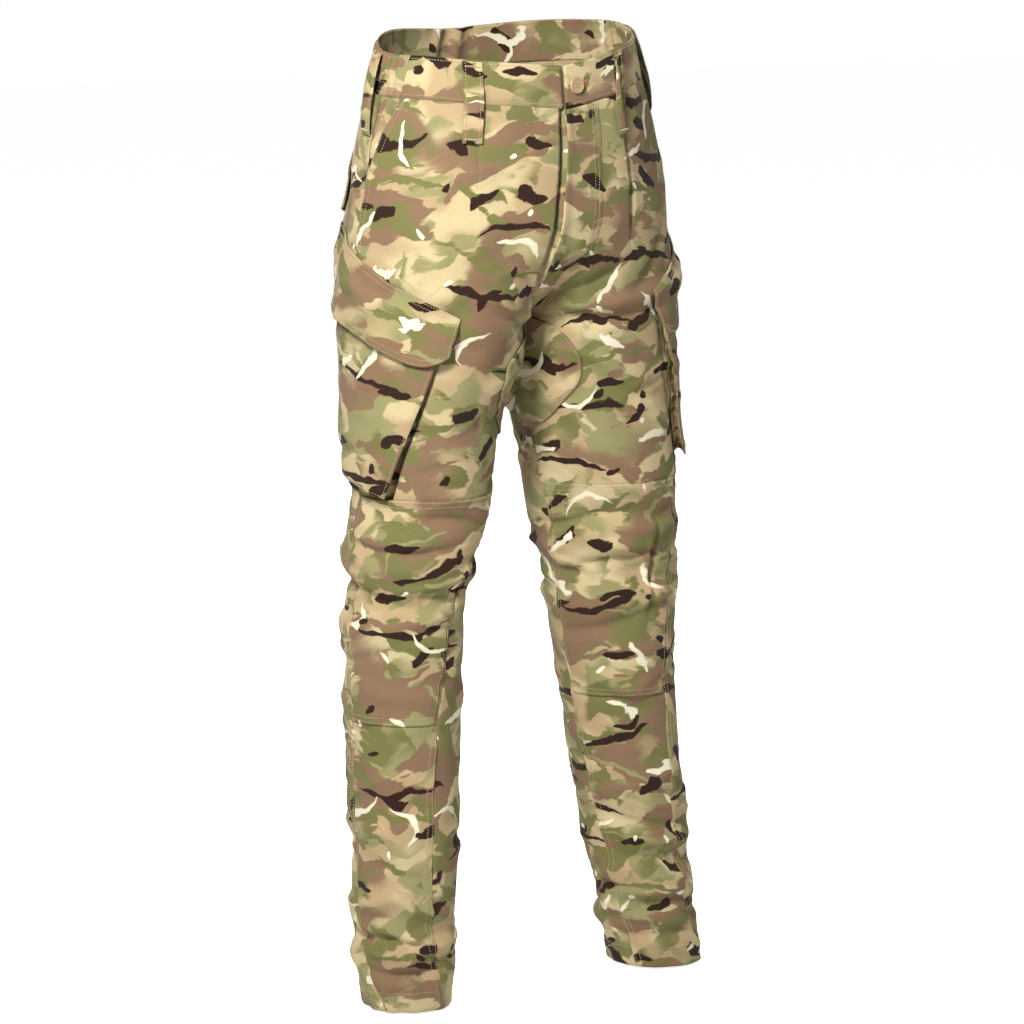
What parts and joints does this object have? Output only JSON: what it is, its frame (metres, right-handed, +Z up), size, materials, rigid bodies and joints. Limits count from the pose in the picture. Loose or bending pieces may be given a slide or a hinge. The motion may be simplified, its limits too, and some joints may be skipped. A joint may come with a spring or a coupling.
{
  "type": "cargo trousers",
  "caption": "Long camouflage cargo trousers standing open as worn, with belt loops, slanted front pockets, thigh pockets and knee patches.",
  "frame": {"origin": "middle of the waist opening, level with the top of the waistband at the sides, where the wearer's waist holds the garment", "axes": "+Z up out of the waist, the front faces -Y, the wearer's left is +X"},
  "size_m": [0.4403, 0.2716, 1.0551],
  "materials": {
    "outer_cloth": "matt cotton twill in tan, olive and brown",
    "band_cloth": "matt cotton twill, doubled",
    "pocket_cloth": "matt cotton twill",
    "patch_cloth": "matt cotton twill, second layer",
    "button": "satin"
  },
  "bodies": {
    "root": {"front_right": "outer_cloth", "back_right": "outer_cloth", "pocket_side_right": "outer_cloth", "waistband_front_right": "band_cloth", "cargo_pocket_right": "pocket_cloth", "cargo_gusset_right": "pocket_cloth", "cargo_flap_right": "pocket_cloth", "knee_patch_right": "patch_cloth", "fork_patch_right": "patch_cloth", "front_left": "outer_cloth", "back_left": "outer_cloth", "pocket_side_left": "outer_cloth", "waistband_front_left": "band_cloth", "cargo_pocket_left": "pocket_cloth", "cargo_gusset_left": "pocket_cloth", "cargo_flap_left": "pocket_cloth", "knee_patch_left": "patch_cloth", "fork_patch_left": "patch_cloth", "waistband_back": "band_cloth", "fly_placket": "outer_cloth", "waist_button": "button", "back_pocket_right": "pocket_cloth", "back_pocket_flap_right": "pocket_cloth", "belt_loop_front_right": "band_cloth", "belt_loop_side_right": "band_cloth", "belt_loop_back_right": "band_cloth", "belt_loop_centre_back": "band_cloth", "belt_loop_back_left": "band_cloth", "belt_loop_side_left": "band_cloth", "belt_loop_front_left": "band_cloth"}
  },
  "joints": []
}
